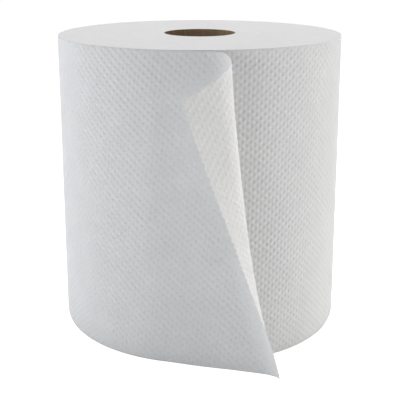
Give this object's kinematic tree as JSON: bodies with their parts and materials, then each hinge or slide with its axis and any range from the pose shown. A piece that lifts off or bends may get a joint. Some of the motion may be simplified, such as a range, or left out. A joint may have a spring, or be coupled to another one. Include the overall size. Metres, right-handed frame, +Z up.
{
  "type": "paper towel roll",
  "caption": "Hardwound roll of embossed white paper towel on a cardboard core, standing on end, with its loose outer end turned over.",
  "frame": {"origin": "on the roll's axis, at the end face that it stands on", "axes": "+Z up along the core's bore; -Y is the front, where the loose outer end stands off the roll; +X to the right of the front view"},
  "size_m": [0.198, 0.2503, 0.203],
  "materials": {
    "towel_paper": "matt, embossed",
    "kraft_core": "matt, spiral wound"
  },
  "bodies": {
    "root": {"core": "kraft_core", "paper_roll": "towel_paper"}
  },
  "joints": []
}
